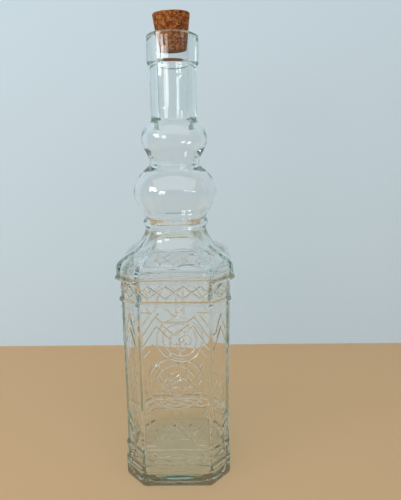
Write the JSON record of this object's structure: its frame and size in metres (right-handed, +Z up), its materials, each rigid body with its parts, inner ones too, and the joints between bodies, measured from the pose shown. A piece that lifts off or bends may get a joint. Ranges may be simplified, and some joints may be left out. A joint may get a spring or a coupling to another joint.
{
  "type": "corked glass bottle",
  "caption": "Tall clear glass bottle of chamfered-square section with raised ornament, a bell shoulder, bulbed neck and a tapered cork.",
  "frame": {"origin": "centre of the surface the foot stands on", "axes": "+Z up along the bottle's axis; the flat sides of the body face along X and Y, and the front side faces -Y"},
  "size_m": [0.0822, 0.0822, 0.3294],
  "materials": {
    "glass": "clear moulded soda-lime glass, faintly green in thick edges",
    "cork": "agglomerated cork, matt, fine grained"
  },
  "bodies": {
    "root": {"bottle": "glass", "cork": "cork"}
  },
  "joints": []
}
